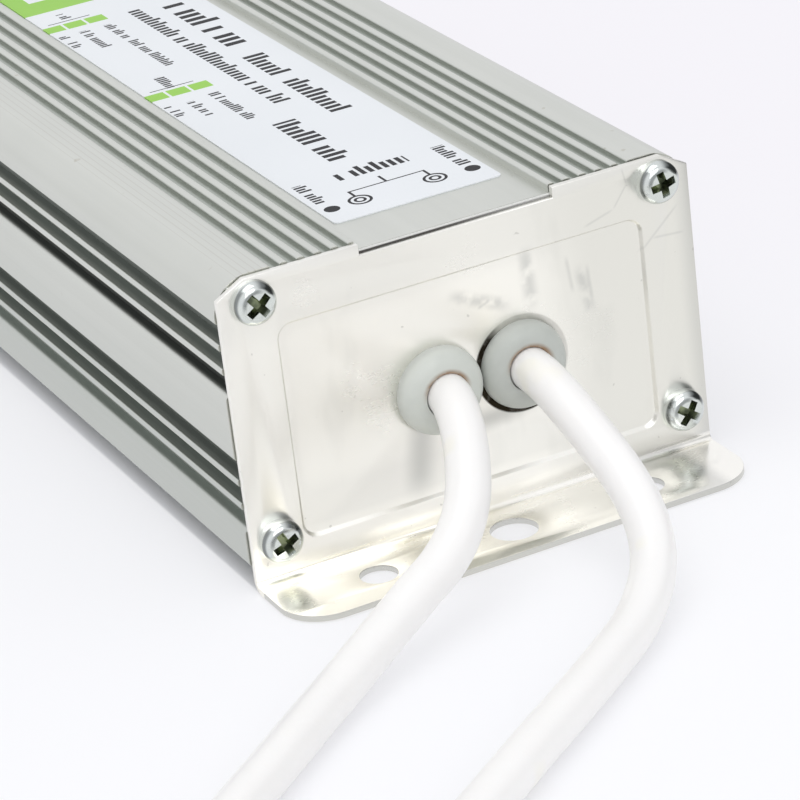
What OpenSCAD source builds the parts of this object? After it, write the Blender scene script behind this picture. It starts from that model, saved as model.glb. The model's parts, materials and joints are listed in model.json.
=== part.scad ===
// LED driver: a finned aluminium extrusion, closed at each end by a folded sheet plate on a gasket.
// A circuit board stands in the extrusion, and two round leads leave the output end through grommets.
// X runs across, Y along the housing with the output end at -Y, Z up from the mounting surface.

/* [Housing] */
// Length of the extrusion
housing_len = 191.7; // [186:0.1:260]
// Width across the side fins
housing_w = 70; // [66:1:90]
// Height of the extrusion
housing_h = 41; // [40:0.5:56]
// Height of the extrusion above the mounting surface
ride_h = 3.2; // [2.5:0.1:6]
// Radius of the upper long edges
top_edge_r = 5.5; // [2:0.25:5.75]
// Radius of the lower long edges
low_edge_r = 1; // [0.5:0.25:2]
// Thickness of the side walls at the bands
side_wall = 4.2; // [3.8:0.1:6]
// Thickness of the roof outside its grooves
roof_t = 3; // [2.6:0.1:5]
// Thickness of the floor
floor_t = 2; // [2:0.1:5]

/* [Side fins] */
// Height of the plain band at the top and bottom of each side
side_band = 5.8; // [5:0.1:8]
// Width of the upper and lower groove of a group
side_end_groove_w = 2.85; // [1.2:0.05:3]
// Width of the middle groove of a group
side_groove_w = 2.45; // [1.2:0.05:2.6]
// Depth of a side groove
side_groove_depth = 2; // [0.8:0.1:2.4]
// Thickness of a side fin
side_fin_t = 0.95; // [0.8:0.05:1.8]
// Rounding of the upper edge of the middle and bottom bands
band_r = 1; // [0.3:0.1:1.5]
// Rounding of the fins' outer edges and of the bands' other edges
fin_edge_r = 0.3; // [0.1:0.05:0.4]

/* [Roof] */
// Width of the label channel
channel_w = 28.6; // [20:0.2:32]
// Depth of the label channel
channel_depth = 1.2; // [0.6:0.1:1.6]
// Width of the rib beside the label channel
first_rib_w = 0.95; // [0.8:0.05:2]
// Distance between roof grooves
rib_pitch = 2.45; // [2.2:0.05:2.6]
// Width of a roof groove
rib_groove_w = 1.3; // [0.8:0.05:1.5]
// Depth of a roof groove
rib_groove_depth = 1.2; // [0.6:0.1:1.5]
// Rounding of the ribs
rib_r = 0.35; // [0.1:0.05:0.4]

/* [End plates] */
// Thickness of the sheet
sheet_t = 0.9; // [0.8:0.1:2]
// Thickness of a gasket
gasket_t = 0.25; // [0.2:0.05:1.5]
// Distance of the gasket's edge from the housing's outline
gasket_inset = 2.2; // [2:0.1:2.6]
// How far the plates stand in from the housing's sides and top
plate_inset = 0.2; // [0:0.05:0.8]
// How far the plates' notch reaches below the label channel
notch_drop = 0.5; // [0:0.1:0.8]
// Length of the flange beyond the plate's face
flange_len = 13.5; // [11:0.5:22]
// Inner radius of the fold
fold_r = 0.8; // [0.4:0.1:1.5]
// Radius of the flange's outer corners
flange_corner_r = 6.5; // [2:0.5:8]
// Width of the cut across a top corner
corner_cut_w = 4; // [1:0.25:4.5]
// Height of the cut across a top corner
corner_cut_h = 2.2; // [1:0.1:2.6]
// Width of the pressed panel
panel_w = 54.4; // [40:0.2:54.8]
// Distance of the panel's upper edge below the housing's top
panel_drop = 7.9; // [7.4:0.1:14]
// Height of the panel's lower edge above the housing's underside
panel_low = 2.1; // [2.1:0.1:4]
// Corner radius of the panel
panel_r = 2.3; // [1:0.1:5]
// Depth of the panel
panel_depth = 0.6; // [0.3:0.05:0.7]
// Slope of the panel's walls, from their outer edge to their inner edge
panel_draft = 0.35; // [0.1:0.05:0.6]

/* [Mounting holes] */
// Distance between the outer holes of a flange
hole_spacing = 40.6; // [30:0.2:44]
// Diameter of the outer holes
hole_d = 5.2; // [3.2:0.1:5.6]
// Diameter of the middle hole
mid_hole_d = 6.6; // [4.2:0.1:7]
// Distance of the holes from the plate's face
hole_out = 7; // [5.5:0.1:8]

/* [Screws] */
// Distance between the upper screws of an end
top_screw_spacing = 59.8; // [58:0.1:60]
// Depth of the upper screws below the housing's top
top_screw_drop = 3.6; // [3.2:0.05:4]
// Distance between the lower screws of an end
low_screw_spacing = 61.4; // [60:0.1:62.4]
// Height of the lower screws above the housing's underside
low_screw_rise = 3.45; // [3.4:0.05:4.2]
// Diameter of a screw head
screw_head_d = 6; // [5:0.1:6.4]
// Height of a screw head
screw_head_h = 2.2; // [1.6:0.1:3]
// Diameter of a screw shank
screw_d = 2.9; // [2:0.1:3]
// Length of a screw below its head
screw_len = 14; // [8:0.5:20]
// Wall round a screw port
port_wall = 1.9; // [1.2:0.1:2.1]

/* [Output leads] */
// Diameter of a lead
cord_d = 6; // [4:0.1:6.4]
// Space between the two output grommets
grommet_space = 0.2; // [0.1:0.1:6]
// How far the pair of output grommets stands off the middle of the plate
grommet_shift = 1.2; // [-3:0.1:3]
// Height of the grommets above the mounting surface
grommet_z = 20.4; // [18:0.1:27]
// Diameter of a grommet's collar
grommet_d = 12.4; // [11.8:0.1:14]
// Length of a grommet's collar
grommet_h = 2.8; // [2.6:0.1:5]
// Rounding of a grommet's collar
grommet_r = 2.5; // [0.5:0.1:2.6]
// Diameter of a grommet's neck
grommet_neck_d = 9.6; // [8:0.1:10.4]
// Diameter of a grommet's inner lip
grommet_lip_d = 11.6; // [11:0.1:12.4]
// Thickness of a grommet's inner lip
grommet_lip_t = 1.6; // [0.8:0.1:3]

/* [Label] */
// Width of the label
label_w = 25.1; // [14:0.1:27]
// Distance of the label's ends from the plates' faces
label_margin = 10.6; // [4:0.2:40]
// Thickness of the label
label_t = 0.15; // [0.1:0.05:0.4]
// Corner radius of the label
label_r = 0.8; // [0.2:0.1:3]

/* [Circuit board] */
// Thickness of the board
board_t = 1.6; // [1:0.1:2.4]
// Height of the board's underside above the cavity's floor
board_rise = 5.8; // [5.4:0.1:7]
// Distance of the board's ends from the housing's ends
board_margin = 10; // [9:0.5:14]
// Width of the rails that hold the board
rail_w = 1; // [0.5:0.1:1.1]
// Height of a rail
rail_h = 1.2; // [0.6:0.1:2]

/* [Mains side] */
// Diameter of the fuse
fuse_d = 8.5; // [6:0.1:10]
// Height of the fuse
fuse_h = 8; // [6:0.5:12]
// Diameter of the surge varistor
varistor_d = 12; // [7:0.5:14]
// Thickness of the surge varistor
varistor_t = 4.5; // [3:0.1:6]
// Diameter of the safety capacitor
safety_cap_d = 9; // [6:0.5:10]
// Thickness of the safety capacitor
safety_cap_t = 4; // [3:0.1:6]
// Width, depth and height of the line capacitor
line_cap_size = [17, 10, 15]; // [6:0.5:20]
// Outer diameter of the line choke's core
line_choke_d = 24; // [18:0.5:26]
// Bore of the line choke's core
line_choke_bore = 13; // [10:0.5:14]
// Height of the line choke's core
line_choke_h = 10; // [6:0.5:14]
// Width, thickness and height of the bridge rectifier
bridge_size = [22, 4, 18]; // [3:0.5:24]
// Diameter of a bulk capacitor
bulk_cap_d = 18; // [12:0.5:20]
// Gap between the bulk capacitors and the roof
bulk_cap_headroom = 3.1; // [1.5:0.1:12]

/* [Transformer] */
// Width of the ferrite core
core_w = 33; // [30:0.5:34]
// Depth of the ferrite core
core_depth = 13; // [9:0.5:14]
// Gap between the ferrite core and the roof
core_headroom = 2.1; // [1:0.1:6]
// Width of the core's middle limb
core_limb = 10; // [7:0.5:11]
// Thickness of the core's outer limbs and yokes
core_yoke = 5; // [3.5:0.25:6]
// Height of the core above the board
core_lift = 2; // [1:0.1:2.4]
// Wall of the coil former
former_t = 0.8; // [0.5:0.1:1.2]
// Overhang of the coil former in front of the core
former_reach = 6.2; // [4.5:0.1:7]

/* [Output side] */
// Length of a heat spreader
spreader_len = 28; // [26:0.5:34]
// Thickness of a heat spreader
spreader_t = 3; // [2:0.1:3.2]
// Gap between the heat spreaders and the roof
spreader_headroom = 4.1; // [4:0.1:7]
// Thickness of a thermal pad
pad_t = 1.2; // [1.1:0.1:1.4]
// Height of a thermal pad
pad_h = 18; // [10:0.5:20]
// Distance between the two transistors on a spreader
transistor_pitch = 13; // [11:0.25:15]
// Outer diameter of the output choke's core
out_choke_d = 26; // [20:0.5:28]
// Bore of the output choke's core
out_choke_bore = 14; // [11:0.5:15]
// Height of the output choke's core
out_choke_h = 11; // [8:0.5:16]
// Diameter of an output capacitor
out_cap_d = 10; // [6:0.5:11]
// Height of an output capacitor
out_cap_h = 20; // [12:0.5:25]
// Wire diameter of the chokes
choke_wire = 1.6; // [0.8:0.1:2]

/* [Hidden] */
$fn = 64;
cut_over = 1;
fit_gap = 0.1;
cord_gap = 0.05;
port_gap = 0.05;
board_gap = 0.2;
screw_hole_gap = 0.45;
head_r = 1.1;
recess_w = 1;
recess_d = 3.9;
recess_depth = 1.2;
can_edge_r = 0.8;
crimp_r = 0.6;
crimp_z = 2.5;
vent_w = 0.6;
vent_margin = 2;
rib_groove_count = 5;

// Housing levels and the cavity
housing_top = ride_h + housing_h;
cavity_w = housing_w - 2 * side_wall;
cavity_low = ride_h + floor_t;
cavity_top = housing_top - roof_t;
channel_floor = housing_top - channel_depth;
side_groove_widths = [side_end_groove_w, side_groove_w, side_end_groove_w];
side_groove_count = len(side_groove_widths);
groove_group_h = total(side_groove_widths, side_groove_count) + (side_groove_count - 1) * side_fin_t;
port_d = screw_d + 2 * port_gap;
boss_d = port_d + 2 * port_wall;
top_screw_z = housing_top - top_screw_drop;
low_screw_z = ride_h + low_screw_rise;

// Screw places on an end, as X and Z
screw_places = [
    [-top_screw_spacing / 2, top_screw_z],
    [top_screw_spacing / 2, top_screw_z],
    [-low_screw_spacing / 2, low_screw_z],
    [low_screw_spacing / 2, low_screw_z]
];

// Distance of the plates' outer faces from the middle of the housing
plate_face = housing_len / 2 + gasket_t + sheet_t;
screw_hole_d = screw_d + 2 * screw_hole_gap;
plate_w = housing_w - 2 * plate_inset;
plate_top = housing_top - plate_inset;
panel_z = max(ride_h + panel_low, cavity_low + fit_gap);
panel_h = housing_top - panel_drop - panel_z;
grommet_hole_d = grommet_neck_d + 2 * fit_gap;
grommet_pitch = grommet_d + grommet_space;
left_grommet_x = grommet_shift - grommet_pitch / 2;
right_grommet_x = grommet_shift + grommet_pitch / 2;
cord_bore_d = cord_d + 2 * cord_gap;
label_len = 2 * (plate_face - label_margin);

// Board levels and the space for parts on it
board_z = cavity_low + board_rise;
board_top = board_z + board_t;
board_w = cavity_w - 2 * board_gap;
board_len = housing_len - 2 * board_margin;
parts_w = cavity_w - 2 * rail_w;
parts_h = cavity_top - board_top;
bulk_cap_h = parts_h - bulk_cap_headroom;
core_h = parts_h - core_lift - core_headroom;
spreader_h = parts_h - spreader_headroom;
lead_d = 0.8;
lead_stand = 2;

// Transistors, their screws and the control chip
tab_size = [1.3, 10, 15.6];
body_size = [4.5, 10, 9];
tab_hole_d = 3.6;
tab_hole_rise = 12.8;
leg_h = 4;
leg_pitch = 2.5;
leg_size = [0.5, 0.9];
small_screw_d = 2.9;
small_head_d = 5.4;
small_head_h = 1.8;
small_port_d = small_screw_d + 2 * port_gap;
spreader_x = cavity_w / 2 - pad_t - spreader_t;
chip_size = [6.4, 9.6, 3.4];
chip_leg = [1.2, 0.6, 2.2];
chip_pitch = 2.54;

// Rows of parts along the board, from the mains end to the output end, by their length
line_choke_span = line_choke_d + 2 * choke_wire;
out_choke_span = out_choke_d + 2 * choke_wire;
former_len = core_depth + 2 * former_reach;
row_lengths = [
    max(line_cap_size[1], fuse_d),
    max(line_choke_span, bridge_size[0]),
    bulk_cap_d,
    max(former_len, spreader_len),
    out_choke_span,
    out_cap_d
];
mains_row = [safety_cap_d, line_cap_size[0], varistor_d, fuse_d];
choke_row = [line_choke_span, bridge_size[1]];
bulk_row = [bulk_cap_d, bulk_cap_d];
output_row = [out_choke_span, chip_size[0]];
output_cap_row = [for (i = [0 : 3]) out_cap_d];

// Turns of the choke windings round their cores, in degrees
line_winding_starts = [30, 210];
line_winding_sweep = 120;
out_winding_start = 30;
out_winding_sweep = 300;

// Cores of the leads, inside the housing and at the bare ends
core_d = 2.2;
core_gap = 1.3;
cord_inner = 6;
pad_inset = 1.5;
tail_start = 0.2;
tail_len = 24;
tail_splay = 7;
tail_droop = 3.5;
tip_d = 1.4;
tip_len = 7;

// Route of each lead, from inside its grommet to its bare end; Y is measured from the plate's face
cord_sides = 10;
left_route = [
    [left_grommet_x, cord_inner, grommet_z], [left_grommet_x, -2.6, grommet_z], [-6, -6.6, 19.6],
    [-7.3, -10.4, 17.8], [-9.1, -14.2, 15.5], [-11.5, -18, 13.1], [-14.7, -21.3, 10.8],
    [-18.6, -23.9, 8.9], [-23, -26, 7.5], [-30, -29.5, 5.3], [-38, -34.5, 3.7],
    [-46, -40.4, 3.1], [-54, -47, 3], [-62, -53.6, 3], [-70, -60.5, 3],
    [-79, -71, 3], [-85.5, -87, 3], [-87, -104.5, 3], [-83.5, -121.5, 3],
    [-75, -136.5, 3], [-62, -148, 3], [-50, -154.5, 3], [-31.5, -161.5, 3], [-10.5, -169.2, 3]
];
right_route = [
    [right_grommet_x, cord_inner, grommet_z], [right_grommet_x, -2.6, grommet_z], [7.5, -7.4, 19.8],
    [7.7, -12.8, 18], [8.1, -18.4, 15.4], [8.4, -23.6, 12.6], [8.1, -28.4, 9.8],
    [6.8, -32.8, 7.3], [4.6, -36.6, 5.4], [1.5, -40.2, 4.1], [-2.5, -44, 3.2],
    [-10, -50, 3], [-18, -56, 3], [-27, -62.5, 3], [-36, -69.2, 3], [-45.5, -76.3, 3],
    [-54.5, -84, 3], [-61, -93.5, 3], [-63, -105, 3], [-60, -116, 3], [-52.5, -124.5, 3],
    [-42, -130, 3], [-24, -137.5, 3], [-6, -145, 3], [11, -152, 3], [29.5, -159.7, 3]
];
lead_routes = [left_route, right_route];

// Sum of the first n sizes of a list
function total(sizes, n) = n == 0 ? 0 : sizes[n - 1] + total(sizes, n - 1);
// Middle of item i when a list of sizes is spread evenly over a span about zero
function spread(sizes, span, i) =
    let (gap = (span - total(sizes, len(sizes))) / (len(sizes) + 1))
    -span / 2 + gap * (i + 1) + total(sizes, i) + sizes[i] / 2;
function row_y(i) = -spread(row_lengths, board_len, i);

function unit(v) = v / norm(v);
// Direction of a route at point i
function heading(p, i) = unit(p[min(i + 1, len(p) - 1)] - p[max(i - 1, 0)]);
function side_of(h) = unit(cross([0, 0, 1], h));
// Points of a tube, ring by ring
function tube_points(p, r) = [
    for (i = [0 : len(p) - 1])
        let (h = heading(p, i), s = side_of(h), u = cross(h, s))
        for (k = [0 : cord_sides - 1])
            let (a = 360 * k / cord_sides)
            p[i] + r * (cos(a) * s + sin(a) * u)
];
function tube_faces(n) = concat(
    [[for (k = [0 : cord_sides - 1]) k]],
    [[for (k = [0 : cord_sides - 1]) (n - 1) * cord_sides + cord_sides - 1 - k]],
    [
        for (i = [0 : n - 2], k = [0 : cord_sides - 1])
            let (a = i * cord_sides + k, b = i * cord_sides + (k + 1) % cord_sides)
            [a, a + cord_sides, b + cord_sides, b]
    ]
);

// Piece to take off a square corner at the origin, with the body at -X and -Y
module round_off(r) {
    difference() {
        translate([-r, -r]) square(2 * r);
        translate([-r, -r]) circle(r);
    }
}

module rounded_rect(size, r) {
    difference() {
        square(size, center = true);
        for (sx = [0, 1], sy = [0, 1])
            mirror([sx, 0]) mirror([0, sy]) translate(size / 2) round_off(r);
    }
}

// Sets a flat outline in X and Z upright, from y to y + depth
module upright(y, depth) {
    translate([0, y + depth, 0]) rotate([90, 0, 0]) linear_extrude(depth) children();
}

// Copies for both ends; each child is drawn for the output end
module both_ends() {
    children();
    rotate([0, 0, 180]) children();
}

module at_plate() {
    translate([0, -plate_face, 0]) children();
}

module screw_bosses_2d() {
    for (p = screw_places) {
        out_x = sign(p[0]) * housing_w / 2;
        out_z = p[1] > ride_h + housing_h / 2 ? housing_top : ride_h;
        translate(p) circle(d = boss_d);
        translate([min(p[0], out_x), p[1] - boss_d / 2]) square([abs(out_x - p[0]), boss_d]);
        translate([p[0] - boss_d / 2, min(p[1], out_z)]) square([boss_d, abs(out_z - p[1])]);
    }
}

module board_rails_2d() {
    for (side = [0, 1], z = [board_z - rail_h, board_top + board_gap])
        mirror([side, 0]) translate([cavity_w / 2 - rail_w, z]) square([rail_w + cut_over, rail_h]);
}

module cavity_2d() {
    difference() {
        translate([-cavity_w / 2, cavity_low]) square([cavity_w, cavity_top - cavity_low]);
        screw_bosses_2d();
        board_rails_2d();
    }
}

// One side groove of the right wall, with its lower edge at z, a width and a rounding for each edge
module side_groove_2d(z, width, low_r, high_r) {
    translate([housing_w / 2 - side_groove_depth, z])
        square([side_groove_depth + cut_over, width]);
    translate([housing_w / 2, z]) round_off(low_r);
    translate([housing_w / 2, z + width]) mirror([0, 1]) round_off(high_r);
}

// Two groups of side grooves; the band below each group has the larger rounding
module side_grooves_2d() {
    for (group_z = [ride_h + side_band, housing_top - side_band - groove_group_h])
        for (i = [0 : side_groove_count - 1]) {
            groove_z = group_z + total(side_groove_widths, i) + i * side_fin_t;
            side_groove_2d(groove_z, side_groove_widths[i], i == 0 ? band_r : fin_edge_r, fin_edge_r);
        }
}

// One roof groove with a round bed and rounded ribs beside it
module roof_groove_2d(x) {
    bed_r = rib_groove_w / 2;
    translate([x, housing_top]) {
        translate([-bed_r, bed_r - rib_groove_depth]) square([rib_groove_w, rib_groove_depth]);
        translate([0, bed_r - rib_groove_depth]) circle(bed_r);
        for (side = [0, 1])
            mirror([side, 0]) translate([-bed_r, 0]) round_off(rib_r);
    }
}

module roof_cuts_2d() {
    translate([-channel_w / 2, channel_floor]) square([channel_w, channel_depth + cut_over]);
    for (side = [0, 1])
        mirror([side, 0]) {
            translate([channel_w / 2, housing_top]) mirror([1, 0]) round_off(rib_r);
            for (i = [0 : rib_groove_count - 1])
                roof_groove_2d(channel_w / 2 + first_rib_w + rib_groove_w / 2 + i * rib_pitch);
        }
}

module housing_2d() {
    difference() {
        translate([-housing_w / 2, ride_h]) square([housing_w, housing_h]);
        for (side = [0, 1])
            mirror([side, 0]) {
                translate([housing_w / 2, housing_top]) round_off(top_edge_r);
                translate([housing_w / 2, ride_h]) mirror([0, 1]) round_off(low_edge_r);
                side_grooves_2d();
            }
        roof_cuts_2d();
        cavity_2d();
        for (p = screw_places)
            translate(p) circle(d = port_d);
    }
}

module housing() {
    color("#cdd0cb") upright(-housing_len / 2, housing_len) housing_2d();
}

// Rounded pad with sloping walls: it is widest at Z 0 and narrows by a draft on each side
module drafted_pad(size, r, depth, draft) {
    straight = size - [2 * r, 2 * r];
    for (turn = [0, 1]) {
        half = size[turn] / 2;
        run = straight[1 - turn];
        rotate([90, 0, 90 * turn]) translate([0, 0, -run / 2]) linear_extrude(run)
            polygon([[-half, 0], [half, 0], [half - draft, depth], [draft - half, depth]]);
    }
    for (x = [-1, 1], y = [-1, 1])
        translate([x * straight[0] / 2, y * straight[1] / 2, 0]) cylinder(r1 = r, r2 = r - draft, h = depth);
}

// Pressed panel of an end plate, from y to y + depth, widest at y
module pressed_panel(y, depth) {
    translate([0, y, panel_z + panel_h / 2])
        rotate([-90, 0, 0]) drafted_pad([panel_w, panel_h], panel_r, depth, panel_draft);
}

module plate_2d() {
    fold_top = sheet_t + fold_r;
    difference() {
        translate([-plate_w / 2, fold_top]) square([plate_w, plate_top - fold_top]);
        for (side = [0, 1])
            mirror([side, 0])
                translate([plate_w / 2, plate_top])
                    polygon([[0, -corner_cut_h], [cut_over, cut_over], [-corner_cut_w, 0]]);
        translate([-channel_w / 2, channel_floor - notch_drop])
            square([channel_w, channel_depth + notch_drop + cut_over]);
        for (p = screw_places)
            translate(p) circle(d = screw_hole_d);
    }
}

module flange_2d() {
    difference() {
        translate([-plate_w / 2, -flange_len]) square([plate_w, flange_len - fold_r]);
        for (side = [0, 1])
            mirror([side, 0])
                translate([plate_w / 2, -flange_len]) mirror([0, 1]) round_off(flange_corner_r);
        for (x = [-hole_spacing / 2, hole_spacing / 2])
            translate([x, -hole_out]) circle(d = hole_d);
        translate([0, -hole_out]) circle(d = mid_hole_d);
    }
}

// Quarter bend between the flange and the upright sheet
module fold() {
    translate([0, -fold_r, sheet_t + fold_r])
        rotate([0, 90, 0])
            rotate_extrude(angle = 90)
                translate([fold_r, -plate_w / 2]) square([sheet_t, plate_w]);
}

// Folded plate with its outer face at Y 0 and a hole for each grommet
module end_plate(grommet_places) {
    difference() {
        union() {
            upright(0, sheet_t) plate_2d();
            pressed_panel(sheet_t, panel_depth);
            fold();
            linear_extrude(sheet_t) flange_2d();
        }
        pressed_panel(0, panel_depth);
        for (x = grommet_places)
            upright(0, sheet_t + panel_depth + cut_over)
                translate([x, grommet_z]) circle(d = grommet_hole_d);
    }
}

module output_end_plate() {
    color("#dcdad2") at_plate() end_plate([left_grommet_x, right_grommet_x]);
}

module input_end_plate() {
    color("#dcdad2") rotate([0, 0, 180]) at_plate() end_plate([0]);
}

// Sealing ring between the housing's end and a plate
module gasket() {
    ring_w = housing_w - 2 * gasket_inset;
    ring_low = ride_h + low_edge_r;
    ring_top = min(channel_floor, housing_top - rib_groove_depth) - fit_gap;
    at_plate() upright(sheet_t, gasket_t)
        difference() {
            translate([-ring_w / 2, ring_low]) square([ring_w, ring_top - ring_low]);
            cavity_2d();
            for (p = screw_places)
                translate(p) circle(d = screw_hole_d);
        }
}

module output_gasket() {
    color("#8d9190") gasket();
}

module input_gasket() {
    color("#8d9190") rotate([0, 0, 180]) gasket();
}

// Turned section of a grommet: radius along X, height above the panel along Y
module grommet_2d() {
    bore_r = cord_bore_d / 2;
    difference() {
        translate([bore_r, 0]) square([grommet_d / 2 - bore_r, grommet_h]);
        translate([grommet_d / 2, grommet_h]) round_off(grommet_r);
    }
    translate([bore_r, -sheet_t - fit_gap])
        square([grommet_neck_d / 2 - bore_r, sheet_t + 2 * fit_gap]);
    translate([bore_r, -sheet_t - fit_gap - grommet_lip_t])
        square([grommet_lip_d / 2 - bore_r, grommet_lip_t]);
}

module grommet(x) {
    color("#b9bdbb")
        at_plate() translate([x, panel_depth - fit_gap / 2, grommet_z])
            rotate([90, 0, 0]) rotate_extrude() grommet_2d();
}

module left_output_grommet() {
    grommet(left_grommet_x);
}

module right_output_grommet() {
    grommet(right_grommet_x);
}

module input_grommet() {
    rotate([0, 0, 180]) grommet(0);
}

// Pan-head screw with a cross recess: the head rises from Z 0, the shank runs down
module pan_screw(shank_d, length, head_d, head_h) {
    difference() {
        union() {
            rotate_extrude()
                difference() {
                    square([head_d / 2, head_h]);
                    translate([head_d / 2, head_h]) round_off(head_r);
                }
            translate([0, 0, -length]) cylinder(d = shank_d, h = length + head_h / 2);
        }
        intersection() {
            translate([0, 0, head_h - recess_depth]) cylinder(d1 = recess_w, d2 = recess_d, h = recess_depth);
            for (turn = [0, 90])
                rotate(turn) translate([0, 0, head_h]) cube([head_d, recess_w, 2 * head_h], center = true);
        }
    }
}

module end_plate_screws() {
    color("#c9ccc6")
        both_ends() at_plate()
            for (p = screw_places)
                translate([p[0], 0, p[1]])
                    rotate([90, 0, 0]) pan_screw(screw_d, screw_len, screw_head_d, screw_head_h);
}

module channel_label() {
    color("#f4f5f2")
        translate([0, 0, channel_floor]) linear_extrude(label_t) rounded_rect([label_w, label_len], label_r);
}

module circuit_board() {
    color("#2f6b3c")
        translate([0, 0, board_z]) linear_extrude(board_t) square([board_w, board_len], center = true);
}

// Resin poured under the board, between the walls
module resin_bed() {
    color("#4a4d50")
        upright(-board_len / 2, board_len)
            intersection() {
                cavity_2d();
                translate([-cavity_w / 2, cavity_low]) square([cavity_w, board_rise]);
            }
}

// Puts a part on the board, in a row and at a place across it
module on_board(x, row) {
    translate([x, row_y(row), board_top]) children();
}

module mains_fuse() {
    color("#3b2f2a")
        on_board(spread(mains_row, parts_w, 3), 0)
            rotate_extrude()
                difference() {
                    square([fuse_d / 2, fuse_h]);
                    translate([fuse_d / 2, fuse_h]) round_off(lead_d);
                }
}

// Round disc on two wire legs
module disc_part(d, thick) {
    translate([0, 0, lead_stand + d / 2])
        rotate([90, 0, 0])
            rotate_extrude()
                translate([d / 4, 0]) difference() {
                    square([d / 2, thick], center = true);
                    for (side = [0, 1])
                        mirror([0, side]) translate([d / 4, thick / 2]) round_off(thick / 4);
                }
    for (x = [-d / 4, d / 4])
        translate([x, 0, 0]) cylinder(d = lead_d, h = lead_stand + d / 2);
}

module surge_varistor() {
    color("#2d5f9e") on_board(spread(mains_row, parts_w, 2), 0) disc_part(varistor_d, varistor_t);
}

module safety_capacitor() {
    color("#3f77b5") on_board(spread(mains_row, parts_w, 0), 0) disc_part(safety_cap_d, safety_cap_t);
}

module line_capacitor() {
    color("#d9b13a")
        on_board(spread(mains_row, parts_w, 1), 0)
            linear_extrude(line_cap_size[2]) rounded_rect([line_cap_size[0], line_cap_size[1]], lead_d);
}

// Half section of a ring core: radius along X, raised by one wire
module ring_section(d, bore, h, grow) {
    translate([bore / 2 - grow, choke_wire - grow]) square([(d - bore) / 2 + 2 * grow, h + 2 * grow]);
}

module ring_core(d, bore, h) {
    rotate_extrude() ring_section(d, bore, h, 0);
}

// Coil round a ring core, over part of its turn
module ring_winding(d, bore, h, start, sweep) {
    rotate(start)
        rotate_extrude(angle = sweep)
            difference() {
                ring_section(d, bore, h, choke_wire);
                ring_section(d, bore, h, port_gap);
            }
}

module line_choke_core() {
    color("#3d6b4a")
        on_board(spread(choke_row, parts_w, 0), 1) ring_core(line_choke_d, line_choke_bore, line_choke_h);
}

module line_choke_windings() {
    color("#b5683a")
        on_board(spread(choke_row, parts_w, 0), 1)
            for (start = line_winding_starts)
                ring_winding(line_choke_d, line_choke_bore, line_choke_h, start, line_winding_sweep);
}

module bridge_rectifier() {
    legs = 4;
    color("#2b2b2d")
        on_board(spread(choke_row, parts_w, 1), 1) {
            translate([-bridge_size[1] / 2, -bridge_size[0] / 2, leg_h])
                cube([bridge_size[1], bridge_size[0], bridge_size[2]]);
            for (i = [0 : legs - 1])
                translate([-leg_size[1] / 2, (i - (legs - 1) / 2) * 2 * leg_pitch, 0])
                    cube([leg_size[1], leg_size[1], leg_h + cut_over]);
        }
}

// Upright capacitor can with a crimped foot and a vent cross on its top
module capacitor_can(d, h) {
    difference() {
        rotate_extrude()
            difference() {
                square([d / 2, h]);
                translate([d / 2, h]) round_off(can_edge_r);
                translate([d / 2, crimp_z]) circle(crimp_r);
            }
        for (turn = [45, 135])
            rotate(turn) translate([0, 0, h]) cube([d - 2 * vent_margin, vent_w, vent_w], center = true);
    }
}

module bulk_capacitors() {
    color("#20242a")
        for (i = [0, 1])
            on_board(spread(bulk_row, parts_w, i), 2) capacitor_can(bulk_cap_d, bulk_cap_h);
}

// Ferrite core with a middle limb and two windows
module transformer_core() {
    window_w = (core_w - core_limb) / 2 - core_yoke;
    color("#2e2e30")
        on_board(0, 3) translate([0, 0, core_lift])
            difference() {
                translate([-core_w / 2, -core_depth / 2, 0]) cube([core_w, core_depth, core_h]);
                for (side = [0, 1])
                    mirror([side, 0, 0])
                        translate([core_limb / 2, -core_depth / 2 - cut_over, core_yoke])
                            cube([window_w, core_depth + 2 * cut_over, core_h - 2 * core_yoke]);
            }
}

// Outline of the former's tube round the middle limb, grown by a wall
module limb_2d(grow) {
    square([core_limb + 2 * grow, core_depth + 2 * grow], center = true);
}

module transformer_former() {
    flange_w = core_w - 2 * core_yoke - 2 * fit_gap;
    low = core_lift + core_yoke + fit_gap;
    tall = core_h - 2 * core_yoke - 2 * fit_gap;
    foot_y = core_depth / 2 + fit_gap;
    foot_len = former_reach - fit_gap;
    color("#39393b")
        on_board(0, 3) {
            translate([0, 0, low])
                difference() {
                    union() {
                        linear_extrude(tall) limb_2d(fit_gap + former_t);
                        for (z = [0, tall - former_t])
                            translate([-flange_w / 2, -former_len / 2, z])
                                cube([flange_w, former_len, former_t]);
                    }
                    translate([0, 0, -cut_over]) linear_extrude(tall + 2 * cut_over) limb_2d(fit_gap);
                }
            for (side = [0, 1])
                mirror([0, side, 0])
                    translate([-flange_w / 2, foot_y, 0]) cube([flange_w, foot_len, low + former_t / 2]);
        }
}

module transformer_winding() {
    low = core_lift + core_yoke + fit_gap + former_t;
    tall = core_h - 2 * core_yoke - 2 * fit_gap - 2 * former_t;
    coil_w = core_w - 2 * core_yoke - 4 * fit_gap;
    color("#d8c33c")
        on_board(0, 3) translate([0, 0, low])
            linear_extrude(tall)
                difference() {
                    rounded_rect([coil_w, former_len - 4 * fit_gap], former_reach / 2);
                    limb_2d(fit_gap + former_t);
                }
}

// Places of the two transistors along a spreader
module each_transistor() {
    for (y = [-transistor_pitch / 2, transistor_pitch / 2])
        translate([0, y, 0]) children();
}

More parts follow.
